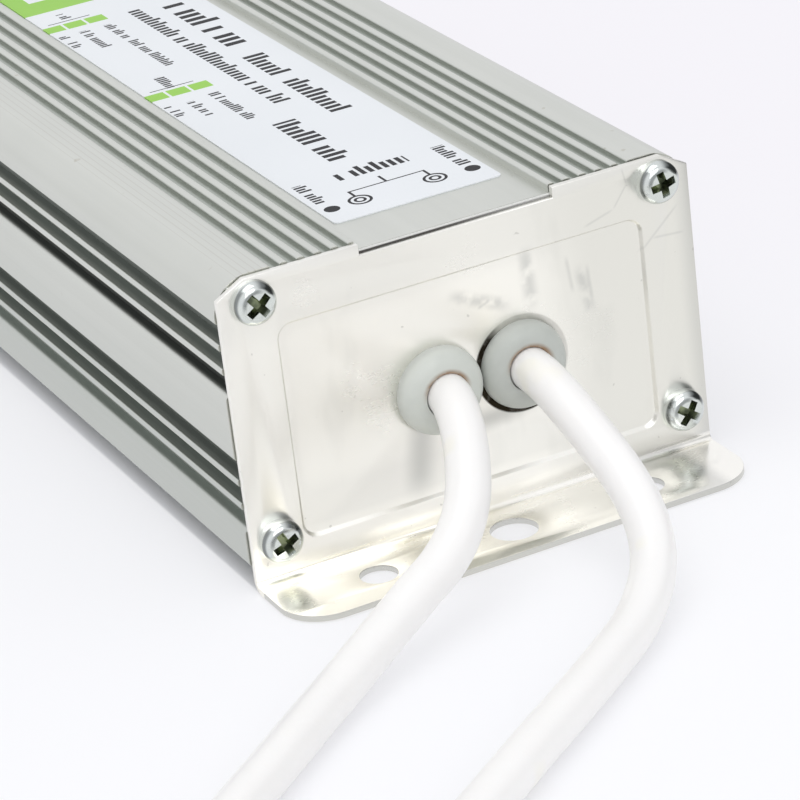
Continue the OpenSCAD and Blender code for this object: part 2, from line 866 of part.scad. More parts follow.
// Heat spreader of the right wall; its mirror image stands at the left wall
module heat_spreader() {
    color("#b7babd")
        on_board(spreader_x, 3)
            difference() {
                translate([0, -spreader_len / 2, 0]) cube([spreader_t, spreader_len, spreader_h]);
                each_transistor()
                    translate([-cut_over, 0, leg_h + tab_hole_rise])
                        rotate([0, 90, 0]) cylinder(d = small_port_d, h = spreader_t + 2 * cut_over);
            }
}

module output_heat_spreader() {
    heat_spreader();
}

module primary_heat_spreader() {
    mirror([1, 0, 0]) heat_spreader();
}

module thermal_pads() {
    color("#8fb3c9")
        for (side = [0, 1])
            mirror([side, 0, 0])
                on_board(cavity_w / 2 - pad_t, 3)
                    translate([0, -spreader_len / 2, spreader_h - pad_h]) cube([pad_t, spreader_len, pad_h]);
}

// Tab transistor whose tab lies on the face at X 0, on three legs
module transistor() {
    difference() {
        union() {
            translate([-tab_size[0], -tab_size[1] / 2, leg_h]) cube(tab_size);
            translate([-body_size[0], -body_size[1] / 2, leg_h]) cube(body_size);
            for (i = [-1 : 1])
                translate([-body_size[0] / 2, i * leg_pitch - leg_size[1] / 2, 0])
                    cube([leg_size[0], leg_size[1], leg_h + cut_over]);
        }
        translate([-tab_size[0] - cut_over, 0, leg_h + tab_hole_rise])
            rotate([0, 90, 0]) cylinder(d = tab_hole_d, h = tab_size[0] + 2 * cut_over);
    }
}

module transistor_pair() {
    color("#2a2a2c") on_board(spreader_x, 3) each_transistor() transistor();
}

module output_rectifiers() {
    transistor_pair();
}

module switching_transistors() {
    mirror([1, 0, 0]) transistor_pair();
}

module spreader_screws() {
    grip = tab_size[0] + spreader_t;
    color("#c4c6c3")
        for (side = [0, 1])
            mirror([side, 0, 0])
                on_board(spreader_x - tab_size[0], 3)
                    each_transistor()
                        translate([0, 0, leg_h + tab_hole_rise])
                            rotate([0, -90, 0])
                                pan_screw(small_screw_d, grip, small_head_d, small_head_h);
}

module output_choke_core() {
    color("#c9b44a")
        on_board(spread(output_row, parts_w, 0), 4) ring_core(out_choke_d, out_choke_bore, out_choke_h);
}

module output_choke_winding() {
    color("#b5683a")
        on_board(spread(output_row, parts_w, 0), 4)
            ring_winding(out_choke_d, out_choke_bore, out_choke_h, out_winding_start, out_winding_sweep);
}

module output_capacitors() {
    color("#26384f")
        for (i = [0 : len(output_cap_row) - 1])
            on_board(spread(output_cap_row, parts_w, i), 5) capacitor_can(out_cap_d, out_cap_h);
}

module control_chip() {
    leg_x = (chip_size[0] + chip_leg[0]) / 2 - fit_gap;
    color("#232325")
        on_board(spread(output_row, parts_w, 1), 4) {
            translate([0, 0, chip_leg[2] - chip_leg[0] + chip_size[2] / 2]) cube(chip_size, center = true);
            for (side = [0, 1], i = [0 : 3])
                mirror([side, 0, 0])
                    translate([leg_x, (i - 1.5) * chip_pitch, chip_leg[2] / 2]) cube(chip_leg, center = true);
        }
}

// Bent wire from the inner end of a lead to the board, in the place of one core
module inner_wire(x) {
    start_y = -plate_face + cord_inner;
    pad_y = -board_len / 2 + pad_inset;
    translate([x, start_y, grommet_z]) rotate([-90, 0, 0]) cylinder(d = core_d, h = pad_y - start_y);
    translate([x, pad_y, grommet_z]) sphere(d = core_d);
    translate([x, pad_y, board_top]) cylinder(d = core_d, h = grommet_z - board_top);
}

module brown_inner_wires() {
    color("#6b4226")
        for (x = [left_grommet_x, right_grommet_x])
            inner_wire(x - core_gap);
}

module blue_inner_wires() {
    color("#2b63a8")
        for (x = [left_grommet_x, right_grommet_x])
            inner_wire(x + core_gap);
}

module output_lead(route) {
    color("#f3f2f0")
        at_plate() polyhedron(tube_points(route, cord_d / 2), tube_faces(len(route)), convexity = 6);
}

module left_output_lead() {
    output_lead(left_route);
}

module right_output_lead() {
    output_lead(right_route);
}

// Sets a child that runs along +X at the bare end of a route, to one side of its middle line
module at_bare_end(route, side) {
    end = route[len(route) - 1];
    way = heading(route, len(route) - 1);
    at_plate() translate(end)
        rotate([0, 0, atan2(way[1], way[0])])
            translate([0, side * core_gap, 0])
                rotate([0, tail_droop, side * tail_splay]) translate([tail_start, 0, 0]) children();
}

// Insulated core that leaves the lead's end face, and its tinned strands
module lead_tails(side) {
    for (route = lead_routes)
        at_bare_end(route, side) rotate([0, 90, 0]) cylinder(d = core_d, h = tail_len);
}

module brown_lead_tails() {
    color("#6b4226") lead_tails(1);
}

module blue_lead_tails() {
    color("#2b63a8") lead_tails(-1);
}

module tinned_tips() {
    color("#c8c8c4")
        for (route = lead_routes, side = [-1, 1])
            at_bare_end(route, side)
                translate([tail_len, 0, 0]) rotate([0, 90, 0]) cylinder(d = tip_d, h = tip_len);
}

housing();
output_end_plate();
input_end_plate();
output_gasket();
input_gasket();
left_output_grommet();
right_output_grommet();
input_grommet();
end_plate_screws();
channel_label();
circuit_board();
resin_bed();
mains_fuse();
surge_varistor();
safety_capacitor();
line_capacitor();
line_choke_core();
line_choke_windings();
bridge_rectifier();
bulk_capacitors();
transformer_core();
transformer_former();
transformer_winding();
primary_heat_spreader();
output_heat_spreader();
thermal_pads();
switching_transistors();
output_rectifiers();
spreader_screws();
output_choke_core();
output_choke_winding();
output_capacitors();
control_chip();
brown_inner_wires();
blue_inner_wires();
left_output_lead();
right_output_lead();
brown_lead_tails();
blue_lead_tails();
tinned_tips();
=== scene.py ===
# %% [markdown]
# # An LED driver
# A finned aluminium extrusion, closed at each end by a folded, zinc-plated sheet. Two white leads leave
# the near end through soft grommets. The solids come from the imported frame, in metres. Here they get their
# finishes, and the pieces that solids show too plainly are modelled again with Blender's own tools.

# %% Load the frame
import json
import math

import bpy
from mathutils import Matrix, Vector


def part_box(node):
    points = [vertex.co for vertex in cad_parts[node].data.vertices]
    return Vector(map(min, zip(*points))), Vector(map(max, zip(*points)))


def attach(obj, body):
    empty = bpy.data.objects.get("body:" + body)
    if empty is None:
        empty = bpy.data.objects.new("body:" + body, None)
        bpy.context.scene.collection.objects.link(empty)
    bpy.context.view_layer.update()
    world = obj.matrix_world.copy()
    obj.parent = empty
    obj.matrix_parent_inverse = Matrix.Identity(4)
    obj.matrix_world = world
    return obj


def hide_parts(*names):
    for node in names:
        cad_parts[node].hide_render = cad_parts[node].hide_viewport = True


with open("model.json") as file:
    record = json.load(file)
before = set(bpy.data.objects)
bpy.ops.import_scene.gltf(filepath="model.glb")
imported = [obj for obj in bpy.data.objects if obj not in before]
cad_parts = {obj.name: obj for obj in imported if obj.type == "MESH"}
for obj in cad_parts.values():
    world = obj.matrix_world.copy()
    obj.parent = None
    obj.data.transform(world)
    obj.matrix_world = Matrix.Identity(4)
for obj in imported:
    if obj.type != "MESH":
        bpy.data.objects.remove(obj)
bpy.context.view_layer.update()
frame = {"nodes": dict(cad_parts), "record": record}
nodes = frame["nodes"]
MM = 0.001
print("frame:", len(nodes), "nodes")

# %% [markdown]
# ## Where things are
# A few levels of the housing place everything else. They are read from the frame, so that a new size of
# the housing moves the finishes and the modelled pieces with it. Shaders count in millimetres here, because
# print, die lines and stains are that small.

# %% Levels of the housing
housing_low, housing_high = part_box("housing")
sheet_t = 0.9 * MM
panel_depth = 0.6 * MM
half_w = housing_high.x / MM
roof_z = housing_high.z / MM
plate_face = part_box("output_gasket")[0].y - sheet_t
print(f"plate face at y {plate_face / MM:.1f} mm, roof at z {roof_z:.1f} mm")

# %% [markdown]
# ## The camera
# The photograph is taken from close by with a long lens, from the left and above, and is tilted a little.
# A heading, a tilt and a roll are easier to read than a matrix: the camera first looks along -Z, so it is
# raised to the horizon, turned, and then rolled about its own axis.

# %% Camera
camera_place = Vector((-0.1945, -0.5112, 0.2275))
camera_heading = math.radians(-23.88)
camera_tilt = math.radians(-24.52)
camera_roll = math.radians(-7.07)
camera_lens = 170.1

turn = Matrix.Rotation(camera_heading, 3, "Z")
raise_up = Matrix.Rotation(math.pi / 2 + camera_tilt, 3, "X")
roll = Matrix.Rotation(camera_roll, 3, "Z")
bpy.ops.object.camera_add(location=camera_place, rotation=(turn @ raise_up @ roll).to_euler())
camera = bpy.context.object
camera.name = "camera"
camera.data.lens = camera_lens
bpy.context.scene.camera = camera
bpy.context.scene.view_settings.view_transform = "Standard"
print("camera", tuple(round(math.degrees(a), 2) for a in camera.rotation_euler))

# %% [markdown]
# ## The leads
# Each lead is a 6 mm round cord, a quarter of a metre long. It leaves its grommet straight, sinks to the
# table and runs out of the picture. The rest of its length lies in one bend in front of the plate. A Bezier
# curve with automatic handles passes smoothly through a few chosen points. A bevel gives it its thickness:
# its depth is 1 and each point's own radius scales it, because a curve's box counts that radius too.

# %% Lead routes: X, distance from the plate's face along Y, and Z, in millimetres
lead_d = 6 * MM
left_x = -5.1
right_x = 7.5
exit_z = 20.4
left_route = [
    (left_x, 6, exit_z), (left_x, -2.6, exit_z), (-6, -6.6, 19.6), (-7.3, -10.4, 17.8), (-9.1, -14.2, 15.5),
    (-11.5, -18, 13.1), (-14.7, -21.3, 10.8), (-18.6, -23.9, 8.9), (-23, -26, 7.5), (-30, -29.5, 5.3),
    (-38, -34.5, 3.7), (-46, -40.4, 3.1), (-54, -47, 3), (-62, -53.6, 3), (-70, -60.5, 3), (-79, -71, 3),
    (-85.5, -87, 3), (-87, -104.5, 3), (-83.5, -121.5, 3), (-75, -136.5, 3), (-62, -148, 3),
    (-50, -154.5, 3), (-31.5, -161.5, 3), (-10.5, -169.2, 3),
]
right_route = [
    (right_x, 6, exit_z), (right_x, -2.6, exit_z), (7.5, -7.4, 19.8), (7.7, -12.8, 18), (8.1, -18.4, 15.4),
    (8.4, -23.6, 12.6), (8.1, -28.4, 9.8), (6.8, -32.8, 7.3), (4.6, -36.6, 5.4), (1.5, -40.2, 4.1),
    (-2.5, -44, 3.2), (-10, -50, 3), (-18, -56, 3), (-27, -62.5, 3), (-36, -69.2, 3), (-45.5, -76.3, 3),
    (-54.5, -84, 3), (-61, -93.5, 3), (-63, -105, 3), (-60, -116, 3), (-52.5, -124.5, 3), (-42, -130, 3),
    (-24, -137.5, 3), (-6, -145, 3), (11, -152, 3), (29.5, -159.7, 3),
]


def route_points(route):
    """Route points in metres, in the row's frame."""
    return [Vector((x * MM, plate_face + y * MM, z * MM)) for x, y, z in route]


# %% Leads as curves
def lead_curve(name, route):
    """A round cord through the points of a route."""
    points = route_points(route)
    curve = bpy.data.curves.new(name, "CURVE")
    curve.dimensions = "3D"
    curve.bevel_depth = 1.0
    curve.bevel_resolution = 10
    curve.resolution_u = 16
    curve.use_fill_caps = True
    spline = curve.splines.new("BEZIER")
    spline.bezier_points.add(len(points) - 1)
    for knot, point in zip(spline.bezier_points, points):
        knot.co = point
        knot.radius = lead_d / 2
        knot.handle_left_type = "AUTO"
        knot.handle_right_type = "AUTO"
    lead = bpy.data.objects.new(name, curve)
    bpy.context.collection.objects.link(lead)
    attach(lead, "root")
    return lead


leads = {}
for side, route in (("left", left_route), ("right", right_route)):
    lead = lead_curve(f"{side}_lead_sheath", route)
    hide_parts(f"{side}_output_lead")
    leads[side] = lead
    print(lead.name, "length", round(lead.data.splines[0].calc_length(), 4))

# %% [markdown]
# ## Tools for modelling by hand
# Operators act on whatever is selected, so each piece starts from an empty selection. Faces and edges are
# picked by where they are, as one would pick them with the mouse.

# %% Selection, edit mode and turns
def facing_out(about):
    """Turns what stands upright to face along -Y, then about Z."""
    return Matrix.Rotation(about, 4, "Z") @ Matrix.Rotation(math.pi / 2, 4, "X")


def clear_selection():
    if bpy.context.object and bpy.context.object.mode != "OBJECT":
        bpy.ops.object.mode_set(mode="OBJECT")
    bpy.ops.object.select_all(action="DESELECT")


def choose_only(piece):
    clear_selection()
    piece.select_set(True)
    bpy.context.view_layer.objects.active = piece


def pick(piece, kind, wanted):
    """In edit mode, selects only the vertices, edges or faces that a test accepts."""
    bpy.ops.mesh.select_mode(type=kind)
    bpy.ops.mesh.select_all(action="DESELECT")
    bpy.ops.object.mode_set(mode="OBJECT")
    mesh = piece.data
    items = {"VERT": mesh.vertices, "EDGE": mesh.edges, "FACE": mesh.polygons}[kind]
    for item in items:
        item.select = wanted(item)
    bpy.ops.object.mode_set(mode="EDIT")


def edge_middle(piece, edge):
    a, b = (piece.data.vertices[i].co for i in edge.vertices)
    return (a + b) / 2


def apply_modifier(piece, kind, **settings):
    modifier = piece.modifiers.new(kind.lower(), kind)
    for name, value in settings.items():
        setattr(modifier, name, value)
    choose_only(piece)
    bpy.ops.object.modifier_apply(modifier=modifier.name)


def finish_piece(piece, name, slot, *replaced):
    """Puts the place into the mesh and hands the piece to the frame."""
    choose_only(piece)
    bpy.ops.object.transform_apply(location=True, rotation=True, scale=True)
    bpy.ops.object.shade_smooth_by_angle(angle=math.radians(35))
    piece.name = name
    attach(piece, "root")
    if replaced:
        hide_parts(*replaced)
    print(name, len(piece.data.polygons), "faces")
    return piece


# %% [markdown]
# ## The end plates
# A plate is cut, pressed and folded from zinc-plated sheet. Its solid has the right form, but its edges are
# knife sharp, and a real sheet always has a small round on them that catches the light. A copy of the
# solid's mesh is welded, its flat triangles are dissolved into whole faces, and a Bevel modifier eases the
# edges.

# %% Plates with eased edges
def eased_copy(node, name, slot, width, segments):
    """A copy of a solid's mesh with its sharp edges rounded."""
    piece = bpy.data.objects.new(name, nodes[node].data.copy())
    bpy.context.collection.objects.link(piece)
    choose_only(piece)
    bpy.ops.mesh.customdata_custom_splitnormals_clear()
    bpy.ops.object.mode_set(mode="EDIT")
    bpy.ops.mesh.select_all(action="SELECT")
    bpy.ops.mesh.remove_doubles(threshold=1e-6)
    bpy.ops.mesh.dissolve_limited(angle_limit=math.radians(0.5))
    bpy.ops.object.mode_set(mode="OBJECT")
    apply_modifier(
        piece, "BEVEL", width=width, segments=segments, limit_method="ANGLE",
        angle_limit=math.radians(28), use_clamp_overlap=True,
    )
    return finish_piece(piece, name, slot, node)


sheet_edge = 0.14 * MM
plates = [
    eased_copy(f"{end}_end_plate", f"{end}_plate_sheet", "plated_sheet", sheet_edge, 2)
    for end in ("output", "input")
]

# %% [markdown]
# ## The plate screws
# Eight pan-head screws with a cross recess hold the plates. One is modelled upright: a cylinder whose rim
# is rounded and whose underside is drawn out into the shank. The recess is two tapered bars, subtracted.
# Copies are then turned to their places, each with its recess at another angle, as a hand leaves them.

# %% One screw
head_d = 6 * MM
head_h = 2.0 * MM
head_round = 1.35 * MM
head_crown = 0.2 * MM
crown_edge = 1.0 * MM
shank_d = 2.9 * MM
shank_len = 14 * MM
recess_len = 4.2 * MM
recess_w = 1.2 * MM
recess_depth = 1.5 * MM
recess_over = 0.5 * MM
recess_taper = (0.5, 0.7, 1)


def recess_cross():
    """The cross recess as one solid: a tapered bar and its copy at a right angle, joined."""
    clear_selection()
    bpy.ops.mesh.primitive_cube_add(size=1, location=(0, 0, head_h - recess_depth / 2 + recess_over / 2))
    cross = bpy.context.object
    cross.scale = (recess_len, recess_w, recess_depth + recess_over)
    bpy.ops.object.transform_apply(location=True, rotation=False, scale=True)
    bpy.ops.object.mode_set(mode="EDIT")
    pick(cross, "FACE", lambda face: face.normal.z < -0.9)
    bpy.ops.transform.resize(value=recess_taper)
    bpy.ops.object.mode_set(mode="OBJECT")
    bar = cross.copy()
    bar.data = cross.data.copy()
    bar.rotation_euler = (0, 0, math.pi / 2)
    bpy.context.collection.objects.link(bar)
    choose_only(bar)
    bpy.ops.object.transform_apply(location=False, rotation=True, scale=False)
    apply_modifier(cross, "BOOLEAN", operation="UNION", object=bar, solver="EXACT")
    bpy.data.objects.remove(bar)
    return cross


def pan_screw():
    clear_selection()
    bpy.ops.mesh.primitive_cylinder_add(
        vertices=64, radius=head_d / 2, depth=head_h, location=(0, 0, head_h / 2)
    )
    screw = bpy.context.object
    bpy.ops.object.transform_apply(location=True, rotation=False, scale=False)
    bpy.ops.object.mode_set(mode="EDIT")
    pick(screw, "EDGE", lambda edge: edge_middle(screw, edge).z > head_h * 0.99)
    bpy.ops.mesh.bevel(offset=head_round, segments=9, profile=0.5, affect="EDGES")
    pick(screw, "FACE", lambda face: face.normal.z > 0.999)
    bpy.ops.mesh.inset(thickness=crown_edge)
    bpy.ops.transform.translate(value=(0, 0, head_crown))
    pick(screw, "FACE", lambda face: face.normal.z < -0.9)
    bpy.ops.mesh.inset(thickness=(head_d - shank_d) / 2)
    bpy.ops.mesh.extrude_region_move(TRANSFORM_OT_translate={"value": (0, 0, -shank_len)})
    bpy.ops.object.mode_set(mode="OBJECT")
    cross = recess_cross()
    apply_modifier(screw, "BOOLEAN", operation="DIFFERENCE", object=cross, solver="EXACT")
    bpy.data.objects.remove(cross)
    return screw


# %% Eight screws in their places
top_screw_x = 29.9
top_screw_z = roof_z - 3.6
low_screw_x = 30.7
low_screw_z = housing_low.z / MM + 3.45
screw_places = [
    (-top_screw_x, top_screw_z), (top_screw_x, top_screw_z),
    (-low_screw_x, low_screw_z), (low_screw_x, low_screw_z),
]
screw_turns = [38, 12, 24, 55, 70, 31, 5, 48]

first_screw = pan_screw()
screw_copies = []
for end in (0, 1):
    for i, (x, z) in enumerate(screw_places):
        screw = first_screw.copy()
        screw.data = first_screw.data.copy()
        bpy.context.collection.objects.link(screw)
        own_turn = Matrix.Rotation(math.radians(screw_turns[4 * end + i]), 4, "Z")
        y = plate_face if end == 0 else -plate_face
        screw.matrix_world = Matrix.Translation((x * MM, y, z * MM)) @ facing_out(math.pi * end) @ own_turn
        screw_copies.append(screw)
bpy.data.objects.remove(first_screw)
choose_only(screw_copies[0])
for screw in screw_copies:
    screw.select_set(True)
bpy.ops.object.join()
screws = finish_piece(screw_copies[0], "plate_screws", "zinc_screw", "end_plate_screws")

# %% [markdown]
# ## The grommets
# A grommet is a soft cap round a lead: a low dome outside, a neck through the sheet and a lip behind it.
# One open circle is drawn out ring by ring, as one would extrude and scale an edge loop by hand: from the
# lip to the neck, out under the dome, over it close to a quarter ellipse, and back through the bore.

# %% One grommet
grommet_d = 12.4 * MM
grommet_h = 2.8 * MM
grommet_bore = 6.1 * MM
grommet_neck = 9.6 * MM
grommet_lip = 11.6 * MM
grommet_lip_t = 1.6 * MM
grommet_z = exit_z * MM
grommet_seat = plate_face + panel_depth
dome_rings = 14
dome_foot = 0.3 * MM
dome_power = 0.86
bore_round_w = 0.12 * MM
bore_round_h = 0.15 * MM


def grommet_profile():
    """Radius and height of each ring, from the inner lip over the dome to the bore."""
    bore, edge = grommet_bore / 2, grommet_d / 2
    low = -sheet_t - grommet_lip_t
    rings = [(grommet_lip / 2, low), (grommet_lip / 2, -sheet_t), (grommet_neck / 2, -sheet_t)]
    rings += [(grommet_neck / 2, 0), (edge, 0), (edge, dome_foot)]
    for i in range(1, dome_rings + 1):
        angle = math.pi / 2 * i / dome_rings
        radius = bore + (edge - bore) * math.cos(angle) ** dome_power
        rings.append((radius, dome_foot + (grommet_h - dome_foot) * math.sin(angle)))
    rings[-1] = (bore + bore_round_w, grommet_h)
    return rings + [(bore, grommet_h - bore_round_h), (bore, low)]


def grommet_ring():
    """A grommet that stands on Z 0, with its axis along Z."""
    rings = grommet_profile()
    clear_selection()
    bpy.ops.mesh.primitive_circle_add(vertices=96, radius=rings[0][0], location=(0, 0, rings[0][1]))
    ring = bpy.context.object
    bpy.ops.object.transform_apply(location=True, rotation=False, scale=False)
    bpy.ops.object.mode_set(mode="EDIT")
    bpy.ops.mesh.select_all(action="SELECT")
    for (r0, z0), (r1, z1) in zip(rings, rings[1:]):
        bpy.ops.mesh.extrude_edges_move(TRANSFORM_OT_translate={"value": (0, 0, z1 - z0)})
        bpy.ops.transform.resize(value=(r1 / r0, r1 / r0, 1), center_override=(0, 0, 0))
    pick(ring, "EDGE", lambda edge: edge_middle(ring, edge).z < rings[0][1] + 1e-6)
    bpy.ops.mesh.bridge_edge_loops()
    bpy.ops.mesh.select_all(action="SELECT")
    bpy.ops.mesh.normals_make_consistent(inside=False)
    bpy.ops.object.mode_set(mode="OBJECT")
    return ring


# %% Three grommets in their places: X, Y, turn about Z, and a lean in degrees
grommet_places = {
    "left_output": (left_x * MM, grommet_seat, 0, (0, 0)),
    "right_output": (right_x * MM, grommet_seat, 0, (-1.5, -2.4)),
    "input": (0, -grommet_seat, math.pi, (0, 0)),
}
grommets = []
for side, (x, y, about, lean) in grommet_places.items():
    ring = grommet_ring()
    lean_x, lean_y = (math.radians(angle) for angle in lean)
    lean_turn = Matrix.Rotation(lean_x, 4, "X") @ Matrix.Rotation(lean_y, 4, "Y")
    ring.matrix_world = Matrix.Translation((x, y, grommet_z)) @ facing_out(about) @ lean_turn
    grommets.append(finish_piece(ring, f"{side}_ring", "grommet_rubber", f"{side}_grommet"))

# %% [markdown]
# ## Shader arithmetic
# Finishes are formulas: how far a point is from a screw, whether it lies in a groove, how a noise changes
# the colour. A small class wraps a node's socket, so that such formulas read as Python and add their Math
# nodes by themselves. Every other node comes from its one method.

# %% The wire class
class Wire:
    """A socket of a node tree that takes part in Python arithmetic."""

    def __init__(self, tree, socket):
        self.tree = tree
        self.socket = socket

    def node(self, kind, inputs, out=0, **settings):
        """Adds a node: its settings first, then the values or wires of its sockets."""
        made = self.tree.nodes.new(kind)
        for name, value in settings.items():
            setattr(made, name, value)
        for place, value in inputs.items():
            if isinstance(value, Wire):
                self.tree.links.new(value.socket, made.inputs[place])
            else:
                made.inputs[place].default_value = value
        return Wire(self.tree, made.outputs[out])

    def math(self, operation, *values):
        return self.node("ShaderNodeMath", dict(enumerate(values)), operation=operation)

    def __add__(self, other):
        return self.math("ADD", self, other)

    def __sub__(self, other):
        return self.math("SUBTRACT", self, other)

    def __rsub__(self, other):
        return self.math("SUBTRACT", other, self)

    def __mul__(self, other):
        return self.math("MULTIPLY", self, other)

    def __truediv__(self, other):
        return self.math("DIVIDE", self, other)

    def __gt__(self, other):
        return self.math("GREATER_THAN", self, other)

    def __lt__(self, other):
        return self.math("LESS_THAN", self, other)

    def __abs__(self):
        return self.math("ABSOLUTE", self)

    __radd__ = __add__
    __rmul__ = __mul__


# %% Helpers on wires
def step_up(value, low, high):
    """0 below low, 1 above high, smooth between."""
    return value.node(
        "ShaderNodeMapRange", {"Value": value, "From Min": low, "From Max": high},
        interpolation_type="SMOOTHSTEP",
    )


def arc(around, middle, half, soft):
    """1 within half of an angle on both sides of its middle, fading over soft; all in radians."""
    return 1 - step_up(around.math("PINGPONG", around - middle, math.pi), half, half + soft)


def blend(mask, first, second):
    """The first colour where the mask is 0, the second where it is 1."""
    def whole(colour):
        return colour if isinstance(colour, Wire) else (*colour, 1)

    return mask.node("ShaderNodeMix", {0: mask, 6: whole(first), 7: whole(second)}, out=2, data_type="RGBA")


def noise(place, scale, detail=3.0, stretch=(1, 1, 1)):
    """Noise from 0 to 1 on a place in millimetres; a small stretch number draws it out along that axis."""
    vector = place.node("ShaderNodeVectorMath", {0: place, 1: stretch}, operation="MULTIPLY")
    return place.node("ShaderNodeTexNoise", {"Vector": vector, "Scale": scale, "Detail": detail})


def distance(a, b, a0, b0):
    """Distance of a place with two coordinates from a point."""
    flat = a.node("ShaderNodeCombineXYZ", {0: a, 1: b})
    return a.node("ShaderNodeVectorMath", {0: flat, 1: (a0, b0, 0)}, out="Value", operation="DISTANCE")


def split(vector):
    """The three parts of a vector."""
    return [vector.node("ShaderNodeSeparateXYZ", {0: vector}, out=axis) for axis in "XYZ"]


def together(masks):
    """The union of several masks."""
    whole = masks[0]
    for mask in masks[1:]:
        whole = whole.math("MAXIMUM", whole, mask)
    return whole


def start_finish(name, **constants):
    """A new material, its shader with constants on its own sockets, the place in mm and its parts."""
    material = bpy.data.materials.new(name)
    material.use_nodes = True
    tree = material.node_tree
    shader = tree.nodes["Principled BSDF"]
    for socket, value in constants.items():
        shader.inputs[socket.replace("_", " ")].default_value = value
    metres = Wire(tree, tree.nodes.new("ShaderNodeTexCoord").outputs["Object"])
    place = metres.node("ShaderNodeVectorMath", {0: metres, "Scale": 1 / MM}, operation="SCALE")
    return material, shader, place, split(place)


def feed(shader, socket, wire):
    wire.tree.links.new(wire.socket, shader.inputs[socket])


def feed_bump(shader, height, depth, strength=1.0):
    """Bump from a height of 0 to 1 that stands for a depth in millimetres."""
    bump = height.node("ShaderNodeBump", {"Height": height, "Strength": strength, "Distance": depth * MM})
    feed(shader, "Normal", bump)


def dress(piece, material):
    """Gives a piece or a CAD node one material."""
    if not piece.material_slots:
        piece.data.materials.append(material)
    for material_slot in piece.material_slots:
        material_slot.link = "OBJECT"
        material_slot.material = material


# %% [markdown]
# ## Extruded aluminium
# An extrusion is satin, and the die leaves fine lines along its whole length. Noise that is drawn out along
# Y gives them, in the roughness and as a very shallow bump. The side grooves are a little rougher, and the
# darkness of all grooves is painted shade, one grey for each groove on the sides; the side is also painted
# darker towards the bottom. On the sides the depth below the bands says where the grooves are, and on the
# roof the pitch of the ribs does.

# %% Aluminium finish; a groove shade level is the painted grey from that height up
fin_low_z = housing_low.z / MM + 5.6
fin_high_z = roof_z - 5.7
rib_low_x = 15.0
rib_high_x = 26.7
rib_first = 15.9
rib_pitch = 2.45
groove_shade_levels = [
    (0.0, 0.44), (12.3, 0.36), (15.7, 0.28), (22.0, 0.13), (31.7, 0.36), (35.1, 0.30),
]
die_low_x = 26.6
die_high_x = 31.2
die_pitch = 0.92


def aluminium_finish():
    material, shader, place, (x, y, z) = start_finish("satin_extrusion", Metallic=1.0)
    wide = abs(x)
    fine = noise(place, 2.6, 4, stretch=(1, 0.004, 1))
    broad = noise(place, 0.5, 3, stretch=(1, 0.01, 1))
    cloud = noise(place, 0.045, 3)
    side_depth = step_up(half_w - wide, 0.25, 1.3) * (z > fin_low_z) * (z < fin_high_z)
    from_groove = wide.math("PINGPONG", wide - rib_first, rib_pitch / 2)
    ribbed = (wide > rib_low_x) * (wide < rib_high_x) * (z > roof_z - 1.3)
    roof_groove_shade = (1 - step_up(from_groove, 0.5, 0.86)) * ribbed
    tone = place.node("ShaderNodeValue", {})
    tone.socket.default_value = groove_shade_levels[0][1]
    for (_, below), (level, above) in zip(groove_shade_levels, groove_shade_levels[1:]):
        tone = tone + (z > level) * (above - below)
    # painted shade in the side grooves, one grey for each groove
    groove_shade = blend(tone, (0, 0, 0), (0.93, 1.0, 0.93))
    die_wave = step_up(wide.math("PINGPONG", wide - die_low_x, die_pitch / 2), 0.0, 0.14)
    die_line = (1 - die_wave) * (-1 * x > die_low_x) * (-1 * x < die_high_x) * (z > roof_z - 1.0)
    speck = step_up(noise(place, 0.35, 2), 0.735, 0.78)
    bare = blend(broad * 0.55 + cloud * 0.45, (0.59, 0.605, 0.565), (0.72, 0.73, 0.69))
    # painted shade: the housing grows darker towards the bottom
    low_shade = blend(1 - step_up(z, 6, 30), bare, (0.55, 0.57, 0.535))
    lined = blend(die_line * 0.3, low_shade, (0.46, 0.43, 0.39))
    spotted = blend(speck * 0.35, lined, (0.40, 0.36, 0.27))
    groove_shaded = blend(side_depth * 0.96, spotted, groove_shade)
    # painted shade in the roof grooves
    feed(shader, "Base Color", blend(roof_groove_shade * 0.62, groove_shaded, (0.33, 0.365, 0.325)))
    feed(shader, "Roughness", 0.30 + fine * 0.10 + cloud * 0.06 + side_depth * 0.15)
    feed_bump(shader, fine * 0.5 + broad * 0.5 - die_line * 0.6, 0.03, 0.5)
    return material


satin_extrusion = aluminium_finish()
dress(nodes["housing"], satin_extrusion)
print("finish", satin_extrusion.name)

# %% [markdown]
# ## Zinc-plated sheet
# The plates are bright and a little warm, between a mirror and satin: the flange shows a blurred image of
# the screws above it. Handling leaves clouds in the gloss, short scratches and grey smears, and the hole of
# the right grommet has a brown rim, with painted shadow of the gap on its lower left. The plating gets a
# painted lit tone on the left of the panel, low down and on the flange, and painted shaded tones elsewhere,
# darker to the right; there is painted shade below the grommets, at the right edge and on the cut edges, and
# a darker band on the flange's right part. Clouds change the roughness most, as on real plating.

# %% Plated sheet finish; a stroke has X and Z of both ends and a width
rim_r = 6.55
rim_turn = -2.62
fold_z = 2.0
near_y = 90


def stroke(x, z, x0, z0, x1, z1, width):
    """A soft line between two points of the plate, 1 along its middle."""
    long = math.hypot(x1 - x0, z1 - z0)
    ux, uz = (x1 - x0) / long, (z1 - z0) / long
    along = (x - x0) * ux + (z - z0) * uz
    off = abs((z - z0) * ux - (x - x0) * uz)
    ends = step_up(along, -width, long * 0.2) * (1 - step_up(along, long * 0.8, long + width))
    return (1 - step_up(off, 0, width)) * ends


def strokes(x, z, lines):
    return together([stroke(x, z, *line) for line in lines])


